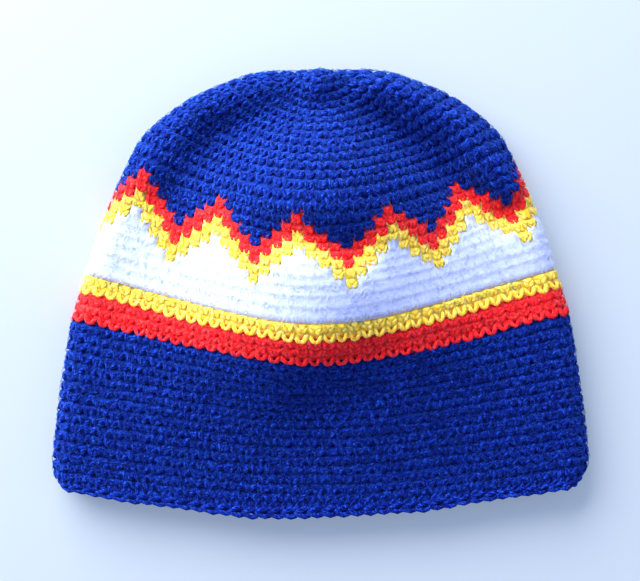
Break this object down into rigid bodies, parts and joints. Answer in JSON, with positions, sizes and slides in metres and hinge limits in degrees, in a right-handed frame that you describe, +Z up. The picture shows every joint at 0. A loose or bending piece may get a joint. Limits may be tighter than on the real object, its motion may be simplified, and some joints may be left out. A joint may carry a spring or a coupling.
{
  "type": "crochet beanie",
  "caption": "Adult beanie of single crochet in blue, with a red and a yellow stripe and a zigzag of white, yellow and red, lying on its back with the crown puffed up.",
  "frame": {"origin": "bottom centre of the bounding box, on the surface that the hat lies on", "axes": "+Z up from the surface, +Y from the opening towards the crown, +X to the right as seen from above with the crown away from the viewer"},
  "size_m": [0.2684, 0.2227, 0.0531],
  "materials": {
    "blue_yarn": "royal blue acrylic yarn, plied, matt with a slight halo of fibres",
    "red_yarn": "bright red acrylic yarn, plied, matt with a slight halo of fibres",
    "yellow_yarn": "warm yellow acrylic yarn, plied, matt with a slight halo of fibres",
    "white_yarn": "white acrylic yarn, plied, matt with a slight halo of fibres"
  },
  "bodies": {
    "root": {"brim_edge": "blue_yarn", "body": "blue_yarn", "stripe_red": "red_yarn", "stripe_yellow": "yellow_yarn", "white_band": "white_yarn", "zigzag_yellow": "yellow_yarn", "zigzag_red": "red_yarn", "crown": "blue_yarn"}
  },
  "joints": []
}
